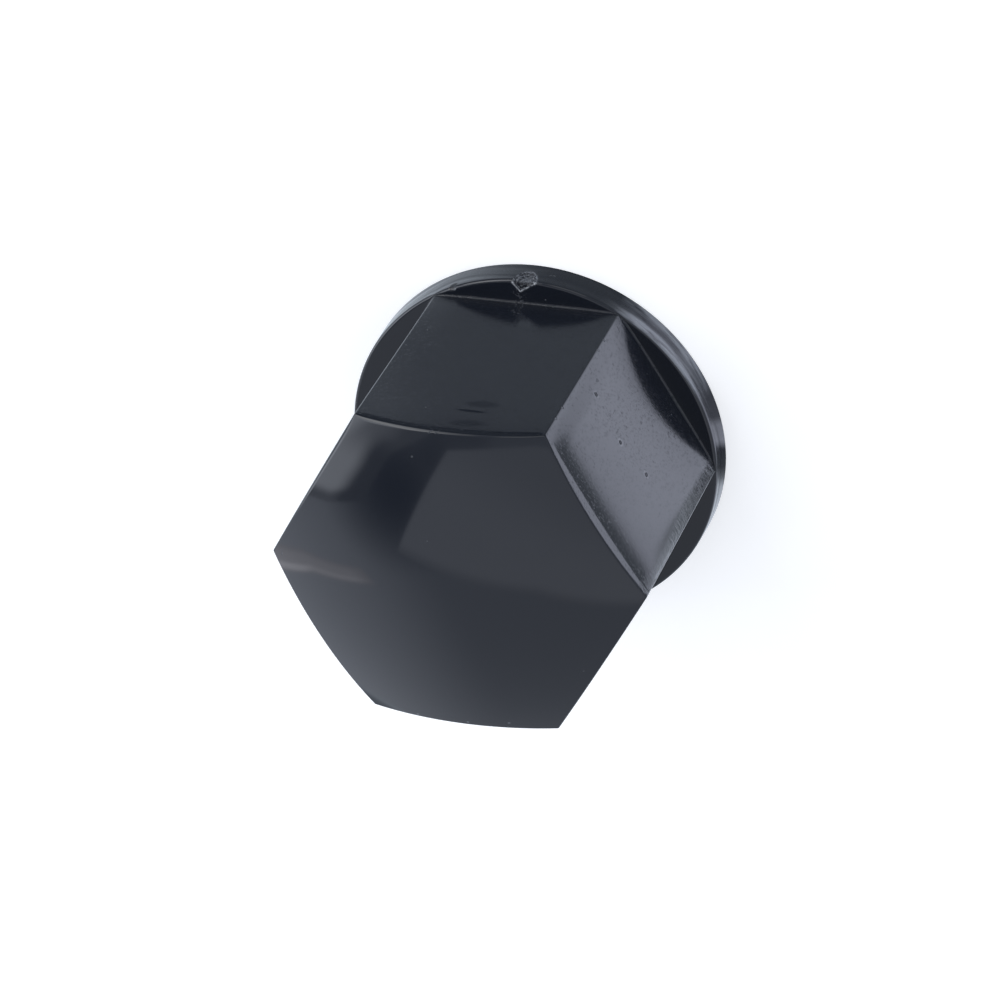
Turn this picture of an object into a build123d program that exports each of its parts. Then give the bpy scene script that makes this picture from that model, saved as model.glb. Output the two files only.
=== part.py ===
"""Push-on cover cap for the hexagonal head of a wheel bolt.

The cap is one plastic moulding: a six-sided body with a domed end, a round flange at the open end, and a
hexagonal socket with grip ribs inside. It stands on its flange with its axis along +Z. Two corners of the
hexagon lie on the Y axis, and two flats face +X and -X.
"""

import math
import os

from build123d import *

# Driving dimensions, in millimetres and degrees

# Bolt head that the cap covers, and the walls that surround it
BOLT_ACROSS_FLATS = 17.0
SOCKET_CLEARANCE = 0.15
SIDE_WALL = 1.35
END_WALL = 1.6

# Six-sided body: its corners end at this height above the flange, where the dome begins
BODY_HEIGHT = 15.0
BODY_DRAFT = 0.2
DOME_RADIUS = 23.0
CORNER_ROUND = 0.2
CROWN_ROUND = 0.15
FOOT_FILLET = 0.2

# Round flange: the ledge is what stands out past the corners of the body
FLANGE_THICKNESS = 2.0
FLANGE_LEDGE = 0.1
FLANGE_DRAFT = 1.5
FLANGE_EDGE_CHAMFER = 0.08

# Socket
SOCKET_DRAFT = 0.25
SOCKET_CORNER_ROUND = 0.4
MOUTH_CHAMFER = 0.4

# Grip ribs, one on each socket wall, which bite into the bolt head by this much
RIB_BITE = 0.05
RIB_WIDTH = 0.8
RIB_START = 3.0
RIB_LEAD_IN = 1.0
RIB_LENGTH = 10.0

# Scoop torn out of the flange's front edge where the moulding was broken off its runner
GATE_SCOOP_RADIUS = 0.8
GATE_CENTRE_OUT = 0.3
GATE_CENTRE_DOWN = 0.15
GATE_ANGLE = -60.0

# Sizes that follow from those above

SIDES = 6
FLAT_ANGLES = [side * 360 / SIDES for side in range(SIDES)]
CORNERS_TO_FLATS = 1 / math.cos(math.pi / SIDES)

SOCKET_ACROSS_FLATS = BOLT_ACROSS_FLATS + 2 * SOCKET_CLEARANCE
BODY_ACROSS_FLATS = SOCKET_ACROSS_FLATS + 2 * SIDE_WALL
BODY_FOOT = FLANGE_THICKNESS
CROWN_LEVEL = FLANGE_THICKNESS + BODY_HEIGHT


def draft_offset(height, draft):
    """How far a wall with this draft leans in over this height."""
    return height * math.tan(math.radians(draft))


def corner_radius(across_flats, rounding=0.0):
    """Distance from the axis to the corner of a hexagon, with its corners rounded or sharp."""
    return across_flats / 2 * CORNERS_TO_FLATS - rounding * (CORNERS_TO_FLATS - 1)


CROWN_ACROSS_FLATS = BODY_ACROSS_FLATS - 2 * draft_offset(BODY_HEIGHT, BODY_DRAFT)
DOME_CENTRE = CROWN_LEVEL - math.sqrt(DOME_RADIUS**2 - corner_radius(CROWN_ACROSS_FLATS) ** 2)
CAP_HEIGHT = DOME_CENTRE + DOME_RADIUS

FLANGE_FRONT_RADIUS = corner_radius(BODY_ACROSS_FLATS, CORNER_ROUND) + FLANGE_LEDGE
FLANGE_FOOT_RADIUS = FLANGE_FRONT_RADIUS + draft_offset(FLANGE_THICKNESS, FLANGE_DRAFT)


def hexagon(across_flats, level):
    """Hexagon with corners on the Y axis, at this height."""
    outline = RegularPolygon(across_flats / 2, SIDES, major_radius=False, rotation=30)
    return Plane.XY.offset(level) * outline


def hexagonal_prism(across_flats, level, height, draft, rounding):
    """Hexagonal prism that leans in as it rises, with rounded corners."""
    prism = extrude(hexagon(across_flats, level), amount=height, taper=draft)
    upright = prism.edges().filter_by(lambda edge: abs(edge.tangent_at(0.5).Z) > 0.5)
    return fillet(upright, rounding)


def dome(radius, level):
    """Everything under a dome of this radius, from this height up."""
    reach = 2 * FLANGE_FOOT_RADIUS
    ball = Pos(0, 0, DOME_CENTRE) * Sphere(radius)
    block = Pos(0, 0, level) * Box(reach, reach, CAP_HEIGHT, align=(Align.CENTER, Align.CENTER, Align.MIN))
    return ball & block


def body():
    """Six-sided body on a broad plate, with the crown rounded and the foot filleted.

    The plate's own rim is its longest edge at the foot, so every other edge there belongs to the foot.
    """
    prism = hexagonal_prism(BODY_ACROSS_FLATS, BODY_FOOT, CAP_HEIGHT, BODY_DRAFT, CORNER_ROUND)
    crowned = prism & dome(DOME_RADIUS, BODY_FOOT)
    top_face = crowned.faces().sort_by(Axis.Z)[-1]
    crowned = fillet(top_face.edges(), CROWN_ROUND)
    plate = Cylinder(2 * FLANGE_FOOT_RADIUS, FLANGE_THICKNESS, align=(Align.CENTER, Align.CENTER, Align.MIN))
    joined = plate + crowned
    on_plate = joined.edges().filter_by_position(Axis.Z, BODY_FOOT, BODY_FOOT)
    foot = on_plate.sort_by(SortBy.LENGTH)[:-1]
    return fillet(foot, FOOT_FILLET)


def flange_envelope():
    """Space that the cap may fill: the flange's round wall, and the body standing clear above it."""
    shoulder = FLANGE_FRONT_RADIUS - FLANGE_EDGE_CHAMFER
    clear = FLANGE_FRONT_RADIUS + FLANGE_EDGE_CHAMFER
    above_foot = BODY_FOOT + 2 * FOOT_FILLET
    outline = Polyline(
        (0, 0),
        (FLANGE_FOOT_RADIUS, 0),
        (FLANGE_FRONT_RADIUS, FLANGE_THICKNESS - FLANGE_EDGE_CHAMFER),
        (shoulder, FLANGE_THICKNESS),
        (shoulder, above_foot),
        (clear, above_foot),
        (clear, CAP_HEIGHT + END_WALL),
        (0, CAP_HEIGHT + END_WALL),
        close=True,
    )
    return revolve(make_face(Plane.XZ * outline), Axis.Z)


def socket():
    """Hexagonal hollow under a ceiling that follows the dome, with a chamfered mouth."""
    core = hexagonal_prism(SOCKET_ACROSS_FLATS, 0, CAP_HEIGHT, SOCKET_DRAFT, SOCKET_CORNER_ROUND)
    core = core & dome(DOME_RADIUS - END_WALL, 0)
    mouth = extrude(
        hexagon(SOCKET_ACROSS_FLATS + 2 * MOUTH_CHAMFER, 0), amount=MOUTH_CHAMFER + SOCKET_CLEARANCE, taper=45
    )
    return core + mouth


def grip_rib(angle):
    """Straight rib on the socket wall that faces this angle, with a sloped lead-in at its lower end."""
    crest = BOLT_ACROSS_FLATS / 2 - RIB_BITE
    root = SOCKET_ACROSS_FLATS / 2 + SIDE_WALL / 2
    outline = Polyline(
        (root, RIB_START),
        (SOCKET_ACROSS_FLATS / 2, RIB_START),
        (crest, RIB_START + RIB_LEAD_IN),
        (crest, RIB_START + RIB_LENGTH),
        (root, RIB_START + RIB_LENGTH),
        close=True,
    )
    side = make_face(Plane.XZ * outline)
    return Rot(0, 0, angle) * extrude(side, amount=RIB_WIDTH / 2, both=True)


def gate_scoop():
    """Shallow scoop in the flange's front edge, where the gate broke off."""
    centre = Pos(FLANGE_FRONT_RADIUS + GATE_CENTRE_OUT, 0, FLANGE_THICKNESS - GATE_CENTRE_DOWN)
    return Rot(0, 0, GATE_ANGLE) * centre * Sphere(GATE_SCOOP_RADIUS)


def cap():
    moulding = (body() & flange_envelope()) - socket()
    for angle in FLAT_ANGLES:
        moulding = moulding + grip_rib(angle)
    return moulding - gate_scoop()


os.makedirs("parts", exist_ok=True)
part = cap()
part.label = "cap"
export_step(part, "parts/cap.step")
print("cap height", round(CAP_HEIGHT, 3), "flange diameter", round(2 * FLANGE_FOOT_RADIUS, 3))
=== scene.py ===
"""Gloss black wheel nut cover cap, standing on its flange and seen from above one corner."""

import math

import bpy
import numpy as np
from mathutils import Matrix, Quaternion, Vector, noise


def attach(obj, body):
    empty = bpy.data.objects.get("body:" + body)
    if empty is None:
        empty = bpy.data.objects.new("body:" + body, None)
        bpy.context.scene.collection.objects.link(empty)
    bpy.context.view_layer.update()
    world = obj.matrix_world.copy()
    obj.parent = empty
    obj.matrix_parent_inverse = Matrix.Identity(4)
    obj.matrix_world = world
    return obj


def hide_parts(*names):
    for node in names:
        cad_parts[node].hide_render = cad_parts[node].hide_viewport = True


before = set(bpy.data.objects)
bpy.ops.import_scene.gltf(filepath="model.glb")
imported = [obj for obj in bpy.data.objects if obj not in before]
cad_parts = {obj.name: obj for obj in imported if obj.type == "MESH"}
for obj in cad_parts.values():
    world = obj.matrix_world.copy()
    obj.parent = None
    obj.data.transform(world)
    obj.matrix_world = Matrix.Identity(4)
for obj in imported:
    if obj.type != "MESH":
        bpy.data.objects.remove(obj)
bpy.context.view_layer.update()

# The cap is one injection moulding in black plastic: a six-sided body with a domed end, a round flange at
# the open end and a ribbed hexagonal socket inside. Its skin is laid out in millimetres, as columns once
# round the hexagon and rows that run from the dome down the outside, under the flange and up the socket.

flat_to_corner = math.radians(30)
body_half_width = 10.0
body_height = 15.0
body_draft = math.tan(math.radians(0.2))
corner_round = 0.14
flange_top = 2.0
cap_height = 20.0736
dome_radius = 23.0
dome_centre = cap_height - dome_radius
socket_half_width = 8.65
socket_draft = math.tan(math.radians(0.25))
socket_round = 0.4
swollen_facing = math.radians(240)
gate_facing = math.radians(300)
gate_angle = math.radians(-60)
nick_angle = math.radians(-36.4)


def flat_fractions(has_gate):
    """Places of the columns along one flat, from -1 at one corner to 1 at the next."""
    even = np.linspace(-0.97, 0.97, 45)
    ends = np.array([-1.0, -0.994, -0.985, 0.985, 0.994, 1.0])
    rib_sides = np.array([-0.083, -0.078, 0.078, 0.083])
    parts = [even, ends, rib_sides]
    if has_gate:
        nick_place = math.tan(nick_angle - gate_angle) / math.tan(flat_to_corner)
        parts.append(np.linspace(-0.17, 0.17, 61))
        parts.append(nick_place + np.linspace(-0.05, 0.05, 25))
    places = np.unique(np.round(np.concatenate(parts), 4))
    keep = np.concatenate([[True], np.diff(places) > 0.002])
    return places[keep]


columns = []
for side in range(6):
    side_facing = math.radians(60 * side)
    for side_place in flat_fractions(has_gate=side == 5):
        columns.append((side_facing, side_place, side_facing))
    for step in range(1, 8):
        columns.append((side_facing, 1.0, side_facing + math.radians(60) * step / 8))
facing, place, turn = np.array(columns).T
outward = np.stack([np.cos(turn), np.sin(turn)], axis=1)


def hexagon(half_width, rounding):
    """Plan points of a rounded hexagon, one for each column. The half width may differ by column."""
    inner = np.broadcast_to(half_width - rounding, facing.shape)
    along = inner * place * math.tan(flat_to_corner)
    core_x = inner * np.cos(facing) - along * np.sin(facing)
    core_y = inner * np.sin(facing) + along * np.cos(facing)
    return np.stack([core_x, core_y], axis=1) + rounding * outward


def ring(plan, height):
    """One row of the skin: plan points at one height, or at a height for each column."""
    heights = np.broadcast_to(height, len(plan))
    return np.column_stack([plan, heights])


def under_dome(plan, radius):
    """Height of a dome of this radius over each plan point."""
    return dome_centre + np.sqrt(radius**2 - (plan**2).sum(axis=1))


def wall_meets_dome(half_width, draft, foot, rounding, radius):
    """Row where a drafted hexagonal wall runs into a dome."""
    height = np.full(len(facing), foot)
    for _ in range(6):
        plan = hexagon(half_width - (height - foot) * draft, rounding)
        height = under_dome(plan, radius)
    return ring(plan, height)


polished_finish = 0
rim_finish = 0.5
satin_finish = 1
fillet_finish = 4
rows = []
row_finishes = []


def lay(row, finish_of_row):
    """Add a row to the skin, with the finish that the mould gave it."""
    rows.append(row)
    row_finishes.append(finish_of_row)


# dome, from its top to the rounding along the crown, which is widest beside one corner
gate_side = np.isclose(facing, gate_facing)
next_side = np.isclose(facing, 0)
near_on_gate_side = np.clip((place + 1.2) / 2, 0, 1)
near_on_next_side = np.clip((0.8 - place) / 1.4, 0, 1)
near_corner = np.where(gate_side, near_on_gate_side, next_side * near_on_next_side)
inside_corners = 1 - place**12
least_round = 0.13
extra_round = 0.27
crown_round = (least_round + extra_round * near_corner * inside_corners)[:, None]
roll_depth = 0.06
roll_height = 0.5
roll = roll_depth * gate_side * inside_corners
crown_edge = wall_meets_dome(body_half_width - roll, body_draft, flange_top, corner_round, dome_radius)
dome_normal = (crown_edge - [0, 0, dome_centre]) / dome_radius
wall_normal = np.column_stack([outward, body_draft + 2 * roll / roll_height])
wall_normal /= np.linalg.norm(wall_normal, axis=1, keepdims=True)
cosine = (dome_normal * wall_normal).sum(axis=1, keepdims=True)
crown_centre = crown_edge - crown_round * (dome_normal + wall_normal) / (1 + cosine)
crown_start = crown_centre + crown_round * dome_normal
for share in np.concatenate([np.linspace(0.02, 0.96, 26), [0.975, 0.985, 0.992, 0.997]]):
    plan = crown_start[:, :2] * share
    lay(ring(plan, under_dome(plan, dome_radius)), polished_finish)
dome_row_count = len(rows)
crown_angle = np.arccos(np.clip(cosine, -1, 1))
for share in np.linspace(0, 1, 10):
    blended = np.sin((1 - share) * crown_angle) * dome_normal + np.sin(share * crown_angle) * wall_normal
    lay(crown_centre + crown_round * blended / np.sin(crown_angle), polished_finish)

# flats, down to the fillet at their foot. The gate side rolls over a little below the crown. The flat beside
# it swelled as the thick plastic cooled, and slopes back to a narrow lip along the crown. Both flare below.
swollen_side = np.isclose(facing, swollen_facing)
gate_flare = 0.07
swollen_flare = 0.12
flare_height = 3.2
flare = (gate_flare * gate_side + swollen_flare * swollen_side) * (1 - place**6)
foot_plan = hexagon(body_half_width + flare, corner_round)
flange_front = 11.616
flange_edge = np.clip(0.6 * (flange_front - np.linalg.norm(foot_plan, axis=1)), 0.04, 0.2)
flange_shoulder = flange_front - flange_edge
towards = (foot_plan * outward).sum(axis=1)
ledge = -towards + np.sqrt(towards**2 + flange_shoulder**2 - (foot_plan**2).sum(axis=1))
swell_size = 0.17
swell_height = 2.8
swell_fall_height = 9.0
swell = swell_size * swollen_side * np.clip((0.95 - place) / 0.2, 0, 1) * (1 - place**20)
crown_lip = 0.85 - 0.5 * place**2
largest_fillet = 0.12
foot_fillet = np.minimum(largest_fillet, 0.8 * ledge)[:, None]
wall_top = rows[-1][:, 2]
wall_foot = flange_top + foot_fillet[:, 0]
near_crown = np.concatenate([np.linspace(0.06, 1.5, 25), np.linspace(1.65, 3.2, 9)])
for depth in np.concatenate([near_crown, np.linspace(3.6, 14.2, 24)]):
    height = wall_top - depth * (wall_top - wall_foot) / body_height
    below_crown = crown_edge[:, 2] - height
    below_lip = below_crown - crown_lip
    swell_rise = 1 - (1 - np.clip(below_lip / swell_height, 0, 1)) ** 2
    swell_fall = np.clip((below_lip - swell_height) / swell_fall_height, 0, 1)
    swollen = swell * swell_rise * (1 - 3 * swell_fall**2 + 2 * swell_fall**3)
    rolled = roll * np.clip(1 - below_crown / roll_height, 0, 1) ** 2
    flared = flare * np.clip(1 - (height - flange_top) / flare_height, 0, 1) ** 2
    half_width = body_half_width - (height - flange_top) * body_draft + swollen - rolled + flared
    lay(ring(hexagon(half_width, corner_round), height), satin_finish)
for share in np.linspace(0, 1, 6):
    angle = share * math.pi / 2
    fillet_reach = foot_fillet * (1 - math.cos(angle))
    fillet_rise = foot_fillet[:, 0] * (1 - math.sin(angle))
    lay(ring(foot_plan + outward * fillet_reach, flange_top + fillet_rise), fillet_finish)

# flange: its front face, broken edge, slightly wavy outer wall and underside
flange_foot = 11.6684
polar = np.arctan2(foot_plan[:, 1], foot_plan[:, 0])
round_plan = np.stack([np.cos(polar), np.sin(polar)], axis=1)
face_start = rows[-1][:, :2]
face_end = flange_shoulder[:, None] * round_plan
first_flange_row = len(rows)
for share in np.concatenate([[0.02], np.linspace(0.08, 0.3, 4), np.linspace(0.35, 0.97, 20), [0.99]]):
    lay(ring(face_start + (face_end - face_start) * share, flange_top), polished_finish)
for share in np.linspace(0, 1, 7):
    angle = share * math.pi / 2
    radius = flange_shoulder + flange_edge * math.sin(angle)
    edge_drop = flange_edge * (1 - math.cos(angle))
    lay(ring(radius[:, None] * round_plan, flange_top - edge_drop), polished_finish)
first_wall_row = len(rows)
wave_size = 0.02
wave_places = [Vector((2.5 * math.cos(angle), 2.5 * math.sin(angle), 0)) for angle in polar]
wave_drift = np.array([noise.noise(wave_place) for wave_place in wave_places])
for share in np.concatenate([[0.01], np.linspace(0.04, 0.6, 18), np.linspace(0.66, 0.96, 6), [0.99]]):
    wave = wave_size * np.sin(2 * math.pi * (1.5 * share + 0.5 * wave_drift)) * math.sin(math.pi * share)
    radius = flange_front + (flange_foot - flange_front) * share - np.clip(wave, 0, None)
    lay(ring(radius[:, None] * round_plan, (flange_top - flange_edge) * (1 - share)), rim_finish)
last_flange_row = len(rows)
rim_foot = flange_foot * round_plan
lay(ring(rim_foot, 0.0), rim_finish)
mouth_chamfer = 0.4
mouth = hexagon(socket_half_width + mouth_chamfer, socket_round)
for share in (0.03, 0.35, 0.7, 0.97, 1.0):
    lay(ring(rim_foot + (mouth - rim_foot) * share, 0.0), rim_finish)

# socket: chamfered mouth, six ribbed walls and a ceiling that follows the dome
end_wall = 1.6
rib_half_width = 0.4
rib_height = 0.2
rib_start = 3.0
rib_end = 13.0
ceiling_radius = dome_radius - end_wall
ceiling_edge = wall_meets_dome(socket_half_width, socket_draft, 0.0, socket_round, ceiling_radius)
from_rib_middle = np.abs(place * socket_half_width * math.tan(flat_to_corner))
on_rib = (from_rib_middle < rib_half_width) & (turn == facing)
below_ribs = [mouth_chamfer, 0.43, 1.6, 2.9]
along_ribs = [rib_start, 3.05, 3.95, 4.0, 6.0, 9.0, 12.0, 12.95, rib_end]
above_ribs = [13.03, 15.0]
for height in below_ribs + along_ribs + above_ribs:
    half_width = socket_half_width - height * socket_draft
    rib_rise = rib_height * np.clip(height - rib_start, 0, 1) if height <= rib_end else 0.0
    crest = np.minimum(half_width, socket_half_width - rib_rise)
    lay(ring(hexagon(np.where(on_rib, crest, half_width), socket_round), height), satin_finish)
lay(ceiling_edge, satin_finish)
for share in np.linspace(0.98, 0.02, 10):
    plan = ceiling_edge[:, :2] * share
    lay(ring(plan, under_dome(plan, ceiling_radius)), satin_finish)

skin = np.array(rows)

# gate scar, torn out of the flange's front edge when the cap was snapped off its runner: a notch with a
# lopsided point in the face and a round end in the wall, a raised lip, and ridges where the plastic let go
scar_half_width = 0.75
scar_on_face = 0.75
scar_on_wall = 1.15
scar_middle = 0.05
scar_depth = 0.34
point_place = 0.33
point_short_side = 0.66
point_long_side = 1.15
lip_height = 0.05
flange_rows = skin[first_flange_row:last_flange_row]
gate_out = np.array([math.cos(gate_angle), math.sin(gate_angle), 0])
gate_along = np.array([-math.sin(gate_angle), math.cos(gate_angle), 0])
across = flange_rows @ gate_along
from_edge = flange_front - flange_rows @ gate_out
below_face = flange_top - flange_rows[..., 2]
past_point = across - point_place
beside_point = np.maximum(past_point / point_short_side, -past_point / point_long_side)
in_face = 1 - beside_point - from_edge / scar_on_face
in_wall = 1 - np.hypot((across - scar_middle) / scar_half_width, below_face / scar_on_wall)
in_scar = np.where(flange_rows @ gate_out > 0, np.minimum(in_face, in_wall), -1)
grit = np.zeros(in_scar.shape)
for spot in np.argwhere(in_scar > -0.25):
    point = Vector(flange_rows[tuple(spot)])
    grit[tuple(spot)] = noise.noise(point * 6) + 0.5 * noise.noise(point * 14)
inside = np.clip(in_scar, 0, 1)
ridged = -np.cos(inside * 22 + 4 * grit)
torn_relief = np.minimum(1, inside * 5) * (0.06 * ridged + 0.12 * grit)
torn_depth = scar_depth * np.minimum(1, inside * 2.5) + torn_relief
on_face_side = in_face < in_wall
beside_lip = np.exp(-((in_scar / 0.07) ** 2))
lip_strength = np.where(on_face_side, 1, 0.6 * np.clip(0.75 - across, 0, 1))
lip_share = beside_lip * np.clip(0.7 + grit, 0.1, 1.2) * lip_strength
into_edge = -(gate_out + [0, 0, 1]) / math.sqrt(2)
flange_rows += (torn_depth - lip_height * lip_share)[..., None] * into_edge

# torn plastic is pale on the floor and the ridges of the scar, with painted shade in a band inside the notch
# near the face, and white along its lip, most at the two ends, partly stress whitening and partly a painted
# highlight
past_edge = below_face - from_edge
torn_pale_and_painted_shade = np.interp(past_edge, [-0.35, -0.25, -0.05, 0.1, 0.6, 0.7], [0.6, 0.1, 0.1, 1.0, 1.0, 0.7])
ridges = torn_pale_and_painted_shade * np.clip(0.6 - 0.6 * ridged, 0, 1) * (inside > 0)
on_torn_floor = np.clip((in_wall - 0.3) / 0.12, 0, 1) * np.clip(past_edge / 0.15, 0, 1)
torn_floor = on_torn_floor * np.clip(0.85 + 0.6 * grit, 0, 1)
torn_share = np.clip(np.maximum(ridges, torn_floor) + 0.7 * lip_share, 0, 1)
# the white ends and lip are partly stress whitening and partly a painted highlight
from_first_end = np.hypot(across - 0.79, from_edge - 0.2)
from_last_end = np.hypot(across + 0.58, from_edge - 0.15)
white_ends_and_painted_highlight = np.exp(-((np.minimum(from_first_end, from_last_end) / 0.06) ** 2))
gap_in_lip = np.exp(-(((across + 0.34) / 0.13) ** 2))
white_lip_and_painted_highlight = beside_lip * on_face_side * np.clip(0.75 + grit, 0.2, 1) * (1 - 0.85 * gap_in_lip)
whitened_and_highlight_share = np.maximum(white_lip_and_painted_highlight, white_ends_and_painted_highlight)

# nick knocked into the same edge near the next corner
nick_radius = 0.26
nick_depth = 0.06
nick_out = np.array([math.cos(nick_angle), math.sin(nick_angle), 0])
nick_centre = nick_out * flange_front + [0, 0, flange_top]
from_nick = np.linalg.norm(flange_rows - nick_centre, axis=-1)
dent = nick_depth * np.clip(1 - (from_nick / nick_radius) ** 2, 0, 1)
flange_rows -= dent[..., None] * (nick_out + [0, 0, 1]) / math.sqrt(2)

# skin the rows with quads and close both ends with a fan
row_count, column_count, _ = skin.shape
index = np.arange(row_count * column_count).reshape(row_count, column_count)
after = np.roll(index, -1, axis=1)
quads = np.stack([index[:-1], index[1:], after[1:], after[:-1]], axis=-1).reshape(-1, 4)
dome_tip = row_count * column_count
ceiling_tip = dome_tip + 1
dome_fan = np.column_stack([np.full(column_count, dome_tip), index[0], after[0]])
ceiling_fan = np.column_stack([np.full(column_count, ceiling_tip), after[-1], index[-1]])
tips = [[0, 0, dome_centre + dome_radius], [0, 0, dome_centre + ceiling_radius]]
points = np.vstack([skin.reshape(-1, 3), tips])
faces = quads.tolist() + dome_fan.tolist() + ceiling_fan.tolist()
millimetre = 0.001
mesh = bpy.data.meshes.new("cap_moulding")
mesh.from_pydata((points * millimetre).tolist(), [], faces)


def mark_points(name, shares):
    """Store how strongly each point of the skin has some quality, for the finish to read."""
    values = np.append(np.broadcast_to(shares, (row_count, column_count)), [0, 0])
    mesh.attributes.new(name, "FLOAT", "POINT").data.foreach_set("value", values.astype(np.float32))


def on_flange(flange_shares):
    """Shares for the whole skin, from those of its flange rows."""
    shares = np.zeros((row_count, column_count))
    shares[first_flange_row:last_flange_row] = flange_shares
    return shares


row_number = np.arange(row_count)[:, None]
on_rim = (row_number >= first_wall_row - 4) & (row_number < last_flange_row)
on_body = (row_number >= dome_row_count) & (row_number < first_flange_row)
from_last_corner = (1 + place) * body_half_width * math.tan(flat_to_corner)
low_down = 0.35 + 0.65 * np.clip((11 - skin[..., 2]) / 3, 0, 1)
polar_degrees = np.degrees(polar)
handled = np.clip((-88 - polar_degrees) / 8, 0, 1) * np.clip((polar_degrees + 128) / 6, 0, 1)
rim_middle = flange_top / 2
# rim marks are handling haze, and a painted highlight that grows towards the rim's top and bottom edges
away_from_middle = np.abs(skin[..., 2] - rim_middle + 0.25 * wave_drift)
haze_and_painted_edge_highlight = np.clip(0.3 + (away_from_middle - 0.25) / 0.3, 0.3, 1)
mark_points("satin", np.array(row_finishes)[:, None])
mark_points("rim", on_rim * handled * haze_and_painted_edge_highlight)
mark_points("torn", on_flange(torn_share))
mark_points("whitened", on_flange(whitened_and_highlight_share))
mark_points("scuff", on_body * swollen_side * low_down * np.clip(1.6 - 2 * from_last_corner, 0, 1))
mesh.validate()
mesh.shade_smooth()
dome_rows = np.array(rows[:dome_row_count]).reshape(-1, 3)
true_normals = np.zeros_like(points)
true_normals[: len(dome_rows)] = (dome_rows - [0, 0, dome_centre]) / dome_radius
mesh.normals_split_custom_set_from_vertices(true_normals.tolist())
cap = bpy.data.objects.new("cap_moulding", mesh)
bpy.context.collection.objects.link(cap)
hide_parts("cap")
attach(cap, "root")

plastic = bpy.data.materials.new("gloss_black_plastic")
plastic.use_nodes = True
finish = plastic.node_tree
shader = finish.nodes["Principled BSDF"]
shader.inputs["IOR"].default_value = 1.54


def feed(socket, value):
    """Link a socket to another one, or set it to a plain value."""
    if isinstance(value, bpy.types.NodeSocket):
        socket.id_data.links.new(value, socket)
    else:
        socket.default_value = value


def add_node(tree, kind, properties=None, **inputs):
    """New shader node with these properties, and with inputs fed by name."""
    node = tree.nodes.new("ShaderNode" + kind)
    for name, value in (properties or {}).items():
        setattr(node, name, value)
    for name, value in inputs.items():
        feed(node.inputs[name.replace("_", " ").title()], value)
    return node


def arithmetic(operation, *terms):
    """Maths node on sockets and plain numbers, of which the first is a socket."""
    node = add_node(terms[0].id_data, "Math", {"operation": operation})
    for socket, term in zip(node.inputs, terms):
        feed(socket, term)
    return node.outputs[0]


def add_up(start, *terms):
    """Sum of a start and of pairs of a socket and the amount that it counts for."""
    total = start
    for socket, amount in terms:
        total = arithmetic("MULTIPLY_ADD", socket, amount, total)
    return total


def product(*factors):
    """Product of sockets."""
    total = factors[0]
    for factor in factors[1:]:
        total = arithmetic("MULTIPLY", total, factor)
    return total


def ramp(value, start, stop):
    """Smooth step from 0 at one value to 1 at the other."""
    smooth = {"interpolation_type": "SMOOTHSTEP"}
    return add_node(value.id_data, "MapRange", smooth, Value=value, From_Min=start, From_Max=stop).outputs[0]


def measure(operation, vector, other):
    """Distance or dot product of a vector from a socket and a fixed one."""
    node = add_node(vector.id_data, "VectorMath", {"operation": operation})
    feed(node.inputs[0], vector)
    feed(node.inputs[1], other)
    return node.outputs["Value"]


def blend(share, first, last):
    """Colour that goes from the first to the last with this share."""
    node = add_node(share.id_data, "Mix", {"data_type": "RGBA"}, Factor=share)
    feed(node.inputs[6], first)
    feed(node.inputs[7], last)
    return node.outputs[2]


place_on_cap = add_node(finish, "TexCoord").outputs["Object"]
scaled = add_node(finish, "VectorMath", {"operation": "SCALE"}, Vector=place_on_cap, Scale=1 / millimetre)
millimetres = scaled.outputs[0]


def quality(name):
    """Share of a quality that was stored on the points of the skin."""
    return add_node(finish, "Attribute", {"attribute_name": name}).outputs["Fac"]


def speckle(stretch, scale, detail):
    """Noise over the cap, in cycles per millimetre, squeezed by these factors along X, Y and Z."""
    squeezed = add_node(finish, "Mapping", Vector=millimetres, Scale=stretch).outputs[0]
    return add_node(finish, "TexNoise", Vector=squeezed, Scale=scale, Detail=detail).outputs[0]


def on_flat(flat_facing, along, height):
    """Place on one of the flats, from its middle line and its height."""
    out = body_half_width - (height - flange_top) * body_draft
    normal = Vector((math.cos(flat_facing), math.sin(flat_facing), 0))
    sideways = Vector((-math.sin(flat_facing), math.cos(flat_facing), 0))
    return normal * out + sideways * along + Vector((0, 0, height))


def spots(centres, radius):
    """Round marks about these places."""
    found = 0.0
    for centre in centres:
        distance = measure("DISTANCE", millimetres, centre)
        found = arithmetic("MAXIMUM", ramp(distance, radius, 0.5 * radius), found)
    return found


def scratches(ends, width):
    """Narrow marks between these pairs of places."""
    found = 0.0
    for first, last in ends:
        run = Vector(last) - Vector(first)
        local = add_node(
            finish,
            "Mapping",
            {"vector_type": "TEXTURE"},
            Vector=millimetres,
            Location=(Vector(first) + Vector(last)) / 2,
            Rotation=run.to_track_quat("X", "Z").to_euler(),
            Scale=(run.length / 2, width / 2, width / 2),
        ).outputs[0]
        reach = add_node(finish, "VectorMath", {"operation": "LENGTH"}, Vector=local).outputs["Value"]
        found = arithmetic("MAXIMUM", ramp(reach, 1.0, 0.5), found)
    return found


# satin flats have a fine grain and small pits, a few of them larger and with a polished rim
satin = quality("satin")
cloud = speckle((1, 1, 1), 0.35, 3.0)
grain = product(speckle((1, 1, 2.0), 4.0, 3.0), satin)
pitted = ramp(speckle((1, 1, 1.6), 6.0, 1.0), 0.63, 0.73)
pitted = product(pitted, ramp(cloud, 0.15, 0.6), satin)
large_pit_places = [
    on_flat(swollen_facing, 1.19, 10.23),
    on_flat(swollen_facing, -1.49, 9.64),
    on_flat(swollen_facing, 4.29, 9.62),
]
large_pits = spots(large_pit_places, 0.2)
pit_rims = spots(large_pit_places, 0.34)
small_pits = spots([on_flat(swollen_facing, 4.66, 8.53), on_flat(swollen_facing, 0.47, 14.65)], 0.12)

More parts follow.
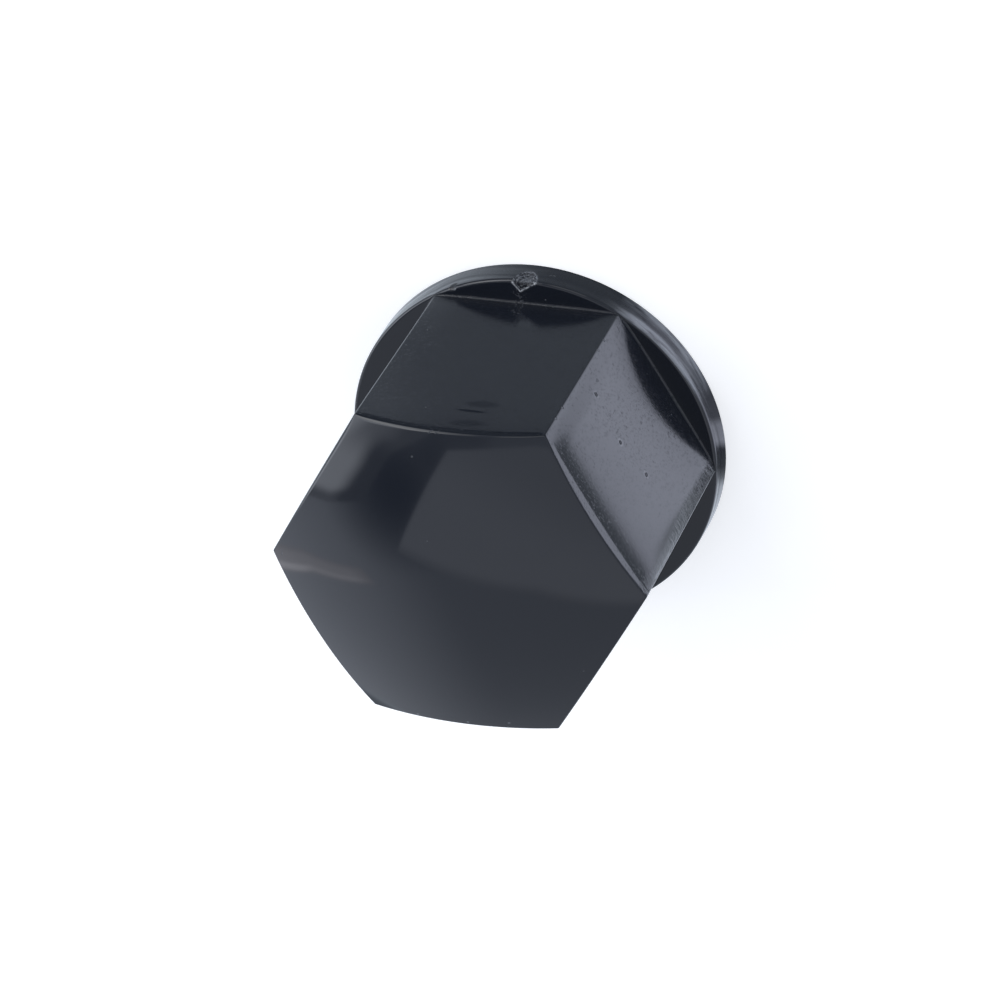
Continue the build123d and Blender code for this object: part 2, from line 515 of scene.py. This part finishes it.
# rough strokes beside one corner, knocks along the corners and a few scratches
strokes = product(quality("scuff"), ramp(speckle((1, 1, 5), 1.6, 2.0), 0.42, 0.58))
knocks = spots([on_flat(swollen_facing, 5.7, height) for height in (5.2, 6.45, 13.6, 14.9)], 0.1)
bend = on_flat(swollen_facing, 4.98, 3.13)
bent_scratch = [(on_flat(swollen_facing, 5.45, 2.92), bend), (bend, on_flat(swollen_facing, 4.53, 3.1))]
crown_scratches = [
    ((5.1, -8.75, 17.6), (5.45, -8.1, 17.95)),
    ((5.5, -8.5, 17.6), (5.75, -7.9, 17.95)),
    ((9.3, 5.5, 17.35), (9.5, 4.9, 17.4)),
]
rim_scratches = [
    ((4.75, -10.63, 1.02), (4.58, -10.7, 0.8)),
    ((4.58, -10.7, 0.8), (4.36, -10.79, 0.96)),
    ((5.21, -10.33, 1.98), (4.76, -10.54, 1.98)),
]
scored = scratches(bent_scratch + crown_scratches + rim_scratches, 0.09)

# smears where the cap was handled: a wiped stroke and two greasy ones on the gate side, and spots on the dome
wiped = scratches([(on_flat(gate_facing, 0.5, 15.2), on_flat(gate_facing, -2.0, 15.2))], 0.35)
greasy_strokes = [
    (on_flat(gate_facing, 0.1, 14.4), on_flat(gate_facing, -2.4, 14.2)),
    (on_flat(gate_facing, 0.3, 16.8), on_flat(gate_facing, -2.3, 16.4)),
]
greasy = scratches(greasy_strokes, 1.0)
smeared = spots([(0.16, -4.24, 19.68), (-2.42, -5.17, 19.35), (-3.76, -5.86, 19.0)], 0.7)

# rim is hazed by handling and carries a painted highlight towards its top and bottom edges, the gate scar is
# paler where it tore, and a little dust lies on everything
haze_and_painted_highlight = product(quality("rim"), ramp(speckle((0.5, 0.5, 2.5), 1.0, 4.0), 0.25, 0.6))
torn = quality("torn")
torn_grain = product(torn, speckle((1, 1, 1), 9.0, 2.0))
crumbled = spots([(5.7, -9.12, 2.0), (5.55, -8.82, 2.0), (5.4, -8.58, 2.3), (5.35, -8.52, 3.2)], 0.5)
chips = product(crumbled, ramp(speckle((1, 1, 1), 5.0, 3.0), 0.52, 0.66))
lint = spots([(-2.47, 9.81, 17.73), (-5.21, 8.17, 17.93), (-7.28, 6.68, 17.84)], 0.11)
dulled = spots([nick_centre - [0, 0, 0.3]], 0.36)
dust_cell = add_node(finish, "TexVoronoi", Vector=millimetres, Scale=1.2).outputs
cell_number = add_node(finish, "SeparateColor", Color=dust_cell["Color"]).outputs[0]
dust = product(ramp(cell_number, 0.955, 0.965), ramp(dust_cell["Distance"], 0.085, 0.05))

pale = add_up(
    0.0,
    (haze_and_painted_highlight, 1.25),
    (torn_grain, 2.2),
    (chips, 0.2),
    (lint, 0.5),
    (dust, 0.2),
    (scored, 0.3),
    (knocks, 0.2),
)
# worn grey is the colour of real wear and of the rim's painted highlight; stress white is that of whitened
# torn plastic and of the painted highlight along the scar's lip
black = (0.0075, 0.0095, 0.0145, 1)
worn_and_highlight_grey = (0.16, 0.17, 0.19, 1)
stress_white_and_highlight = (0.5, 0.51, 0.53, 1)
worn_and_highlight_black = blend(pale, black, worn_and_highlight_grey)
feed(shader.inputs["Base Color"], blend(quality("whitened"), worn_and_highlight_black, stress_white_and_highlight))
roughness = add_up(
    0.055,
    (satin, 0.05),
    (cloud, 0.04),
    (strokes, 0.12),
    (torn, 0.12),
    (smeared, 0.1),
    (haze_and_painted_highlight, 0.2),
    (dust, 0.4),
    (dulled, 0.45),
)
feed(shader.inputs["Roughness"], roughness)
shine = add_up(0.5, (wiped, -0.45), (greasy, -0.27), (pit_rims, 0.4), (large_pits, -0.65))
feed(shader.inputs["Specular IOR Level"], shine)
relief = add_up(
    0.0,
    (grain, 0.005),
    (pitted, -0.009),
    (large_pits, -0.06),
    (small_pits, -0.02),
    (strokes, -0.07),
    (knocks, -0.04),
    (scored, -0.02),
    (torn_grain, 0.05),
    (chips, 0.015),
    (dust, 0.03),
)
feed(shader.inputs["Normal"], add_node(finish, "Bump", Height=relief, Distance=millimetre).outputs[0])
mesh.materials.append(plastic)

# Floor: a plain white card under the cap. Seen directly it is white with the cap's soft shadow. In the gloss
# of the cap it shows painted light: a painted pool of light in front of one flat, and painted shade beside
# the cap.

floor_half_width = 0.6
gap_under_cap = 0.00002
floor_corners = []
for corner_x, corner_y in ((-1, -1), (1, -1), (1, 1), (-1, 1)):
    floor_corners.append((corner_x * floor_half_width, corner_y * floor_half_width, 0))
floor_mesh = bpy.data.meshes.new("floor")
floor_mesh.from_pydata(floor_corners, [], [(0, 1, 2, 3)])
floor = bpy.data.objects.new("floor", floor_mesh)
floor.location.z = -gap_under_cap
bpy.context.collection.objects.link(floor)
card = bpy.data.materials.new("white_card")
card.use_nodes = True
card_tree = card.node_tree
card_tree.nodes.clear()
on_floor = add_node(card_tree, "NewGeometry").outputs["Position"]
floor_x, floor_y, _ = add_node(card_tree, "SeparateXYZ", Vector=on_floor).outputs
from_axis = measure("DISTANCE", on_floor, (0, 0, 0))
around = arithmetic("DEGREES", arithmetic("ARCTAN2", floor_y, floor_x))


def band(value, middle, reach):
    """Share of a soft band about a middle value."""
    off = arithmetic("ABSOLUTE", arithmetic("SUBTRACT", value, middle))
    return ramp(off, reach, 0.4 * reach)


# painted pool of light in the gloss in front of one flat, and painted shade in front of the gate flat and
# near the cap
pool_flat = (-math.sin(flat_to_corner), -math.cos(flat_to_corner), 0)
gate_flat = (math.sin(flat_to_corner), -math.cos(flat_to_corner), 0)
painted_pool_strip = ramp(measure("DOT_PRODUCT", on_floor, pool_flat), 0.0235, 0.021)
painted_pool_side = ramp(floor_x, 0.002, -0.002)
painted_pool_front = ramp(floor_y, 0.004, -0.002)
pool_end = product(ramp(around, -149, -150.6), ramp(from_axis, 0.0235, 0.0175))
painted_light_pool = product(painted_pool_strip, painted_pool_side, painted_pool_front, add_up(1.0, (pool_end, -0.75)))
behind = product(ramp(floor_y, -0.009, -0.003), ramp(from_axis, 0.12, 0.05))
far_back = ramp(floor_y, 0.15, 0.4)
painted_shade_spot = ramp(measure("DISTANCE", on_floor, (0.0085, -0.0135, 0)), 0.0115, 0.0065)
painted_shade_end = ramp(measure("DOT_PRODUCT", on_floor, gate_flat), 0.0204, 0.0212)
painted_open_level = add_up(
    0.45,
    (painted_light_pool, 1.25),
    (behind, 0.5),
    (far_back, 0.55),
    (painted_shade_spot, -0.12),
    (painted_shade_end, -0.3),
)

# close to the rim the painted light and shade in the card's gloss change from side to side
left_side = ramp(around, -68, -35)
right_side = ramp(around, -157, -162)
painted_rim_level = add_up(
    0.3,
    (left_side, 0.6),
    (right_side, 0.6),
    (band(around, -142.5, 6), 0.6),
    (band(around, -151, 7), -0.19),
    (band(around, -109, 15), 0.5),
)
near_rim = ramp(from_axis, 0.0128, 0.0124)
change = arithmetic("SUBTRACT", painted_rim_level, painted_open_level)
painted_level_in_gloss = arithmetic("MULTIPLY_ADD", change, near_rim, painted_open_level)

ray = add_node(card_tree, "LightPath").outputs
diffuse = add_node(card_tree, "BsdfDiffuse", Color=(0.8, 0.8, 0.8, 1)).outputs[0]
seen = arithmetic("MULTIPLY", ray["Is Camera Ray"], 0.45)
white = add_node(card_tree, "Emission", Strength=seen).outputs[0]
# in glossy rays the card shows only this painted light and shade, glowing with no lamp behind it
painted_glow_colour = blend(painted_light_pool, (0.84, 0.93, 1.05, 1), (0.87, 0.92, 1.1, 1))
glow = add_node(card_tree, "Emission", Color=painted_glow_colour, Strength=painted_level_in_gloss).outputs[0]
plain = add_node(card_tree, "AddShader")
feed(plain.inputs[0], diffuse)
feed(plain.inputs[1], white)
either = add_node(card_tree, "MixShader", Fac=ray["Is Glossy Ray"])
feed(either.inputs[1], plain.outputs[0])
feed(either.inputs[2], glow)
add_node(card_tree, "OutputMaterial", Surface=either.outputs[0])
floor_mesh.materials.append(card)

# Light: a white tent that is brighter towards the back and has a dark gap high on one side, with a ceiling
# panel, a bent strip at the back, a long softbox beside the gap, two lights on the same side nearer to the
# camera and a broad key lamp on the other side. The panels glow, and show in the gloss of the cap.

world = bpy.data.worlds.new("white_tent")
bpy.context.scene.world = world
world.use_nodes = True
tent = world.node_tree
looking = add_node(tent, "TexCoord").outputs["Generated"]


def tent_patch(direction, inner, outer):
    """Share of a round patch of the tent about a direction, from the cosines at its inner and outer edge."""
    return ramp(measure("DOT_PRODUCT", looking, Vector(direction).normalized()), outer, inner)


bright_back = tent_patch((0.606, 1.141, 0.342), 1.04, 0.65)
dark_gap = tent_patch((0.4, 0.239, 0.749), 1.09, 0.886)
dim_front = tent_patch((0.35, -0.6, 0.72), 0.97, 0.8)
dim_corner = tent_patch((0.36, -0.14, 0.925), 1.0, 0.97)
tent_level = add_up(0.64, (bright_back, 0.63))
light_left = add_up(1.0, (dark_gap, -1.4), (dim_front, -0.3), (dim_corner, -0.3))
background = tent.nodes["Background"]
background.inputs["Color"].default_value = (0.86, 0.92, 1.04, 1)
feed(background.inputs["Strength"], product(tent_level, light_left))


def light_panel(name, corners, colour):
    """Glowing flat panel. Returns the socket for its strength, and X, Y and Z over the panel."""
    panel_mesh = bpy.data.meshes.new(name)
    panel_mesh.from_pydata(corners, [], [tuple(range(len(corners)))])
    panel = bpy.data.objects.new(name, panel_mesh)
    panel.visible_camera = False
    panel.visible_shadow = False
    bpy.context.collection.objects.link(panel)
    sheet = bpy.data.materials.new(name)
    sheet.use_nodes = True
    sheet.node_tree.nodes.clear()
    lamp = add_node(sheet.node_tree, "Emission", Color=colour)
    add_node(sheet.node_tree, "OutputMaterial", Surface=lamp.outputs[0])
    panel_mesh.materials.append(sheet)
    on_panel = add_node(sheet.node_tree, "NewGeometry").outputs["Position"]
    return lamp.inputs["Strength"], add_node(sheet.node_tree, "SeparateXYZ", Vector=on_panel).outputs


# the ceiling panel is dimmer towards the camera and along its back edges
ceiling_corners = [
    (0.192, -0.05, 0.5),
    (0.161, 0.303, 0.5),
    (-0.194, 0.18, 0.5),
    (-0.6, 0.165, 0.5),
    (-0.6, -0.45, 0.5),
    (0.0, -0.205, 0.5),
]
ceiling_strength, on_ceiling = light_panel("ceiling_panel", ceiling_corners, (0.9, 0.95, 1.06, 1))
ceiling_x, ceiling_y, _ = on_ceiling


def in_front_of_edge(edge_at_axis, slope):
    """How far a point of the ceiling panel lies in front of one of its back edges."""
    return arithmetic("SUBTRACT", add_up(edge_at_axis, (ceiling_x, slope)), ceiling_y)


from_back = arithmetic("MAXIMUM", in_front_of_edge(0.247, 0.347), in_front_of_edge(0.187, 0.0375))
back_fade = ramp(from_back, 0.045, 0.0)
feed(ceiling_strength, add_up(0.74, (ramp(ceiling_y, -0.16, 0.06), 0.17), (back_fade, -0.25)))

# the back strip is a bent band, brightest along one side
strip_bend = 0.25
strip_top = 0.51
strip_corners = [
    (0.335, 0.54, 0.08),
    (0.265, 0.54, 0.08),
    (0.265, 0.54, strip_bend),
    (0.187, 0.54, strip_top),
    (0.257, 0.54, strip_top),
    (0.335, 0.54, strip_bend),
]
strip_strength, on_strip = light_panel("back_strip", strip_corners, (0.94, 0.94, 1.02, 1))
strip_x, _, strip_z = on_strip


def beyond(value, start):
    """How far a value lies past a start, and 0 before it."""
    return arithmetic("MAXIMUM", arithmetic("SUBTRACT", value, start), 0.0)


strip_across = add_up(strip_x, (beyond(strip_z, strip_bend), 0.3))
line_level = add_up(0.45, (ramp(strip_z, 0.27, 0.19), 0.4))
bright_line = product(band(strip_across, 0.278, 0.012), line_level)
strip_glow = add_up(bright_line, (band(strip_across, 0.3, 0.034), 0.3))
feed(strip_strength, arithmetic("MULTIPLY_ADD", strip_glow, ramp(strip_z, strip_top, 0.42), 1.2))

# the edge light fades towards the camera, and the front light is even
edge_corners = [(0.4, -0.45, 0.05), (0.4, -0.1, 0.05), (0.4, -0.1, 0.5), (0.4, -0.45, 0.5)]
edge_strength, on_edge_light = light_panel("edge_light", edge_corners, (0.95, 0.97, 1.0, 1))
feed(edge_strength, add_up(0.9, (ramp(on_edge_light["Y"], -0.45, -0.15), 2.4)))
front_corners = [(0.36, -0.5, 0.05), (0.2, -0.64, 0.05), (0.2, -0.64, 0.5), (0.36, -0.5, 0.5)]
front_strength, _ = light_panel("front_light", front_corners, (0.95, 0.97, 1.0, 1))
feed(front_strength, 1.1)

# the softbox is brightest in its middle, and fades towards its top edge and towards both ends
softbox_slant = 0.4
softbox_corners = [
    (0.4, -0.085, 0.06),
    (0.4, 0.375, 0.06),
    (0.4, 0.375, softbox_slant),
    (0.4, 0.33, 0.6),
    (0.4, 0.1, 0.6),
    (0.4, -0.085, 0.76),
]
softbox_strength, on_softbox = light_panel("long_softbox", softbox_corners, (0.9, 0.95, 1.05, 1))
_, softbox_y, softbox_z = on_softbox
away_from_camera = ramp(softbox_y, 0.06, 0.2)
near_end = ramp(softbox_y, 0.14, 0.04)
far_end = ramp(add_up(softbox_y, (beyond(softbox_z, softbox_slant), 0.4)), 0.31, 0.352)
near_bottom = ramp(add_up(softbox_z, (softbox_y, 0.6)), 0.47, 0.39)
taller_by = product(add_up(0.313, (softbox_z, -0.708)), near_end)
softbox_height = add_up(softbox_z, (taller_by, 1.0), (beyond(softbox_y, 0.2), 0.18))
below_top = ramp(softbox_height, 0.535, 0.43)
full_level = add_up(1.1, (away_from_camera, 1.05), (near_bottom, 1.5), (far_end, -1.5))
least_level = add_up(0.28, (near_end, 0.2))
feed(softbox_strength, arithmetic("MAXIMUM", product(full_level, below_top), least_level))

key_level = 1.1
key = bpy.data.lights.new("key", "AREA")
key.shape = "RECTANGLE"
key.size = 0.6
key.size_y = 0.4
key.energy = key_level * math.pi * key.size * key.size_y
key.color = (0.9, 0.95, 1.0)
key_lamp = bpy.data.objects.new("key", key)
key_lamp.location = (-0.37, -0.335, 0.23)
key_lamp.rotation_euler = key_lamp.location.to_track_quat("Z", "Y").to_euler()
key_lamp.visible_camera = False
key_lamp.visible_glossy = False
bpy.context.collection.objects.link(key_lamp)

# Camera: a long lens above the corner nearest to it, rolled so that the cap lies across the picture with its
# domed end low and its flange high.

camera_data = bpy.data.cameras.new("camera")
camera_data.sensor_width = 36
camera_data.lens = 154.8
camera_data.clip_start = 0.01
camera = bpy.data.objects.new("camera", camera_data)
camera.location = (0.00214, -0.14817, 0.21942)
aim = Vector((0.00007, 0.00395, 0.00278))
camera_roll = math.radians(-148.65)
level = (aim - camera.location).to_track_quat("-Z", "Y")
camera.rotation_mode = "QUATERNION"
camera.rotation_quaternion = level @ Quaternion((0, 0, 1), camera_roll)
bpy.context.collection.objects.link(camera)
bpy.context.scene.camera = camera

bpy.context.scene.view_settings.view_transform = "Standard"
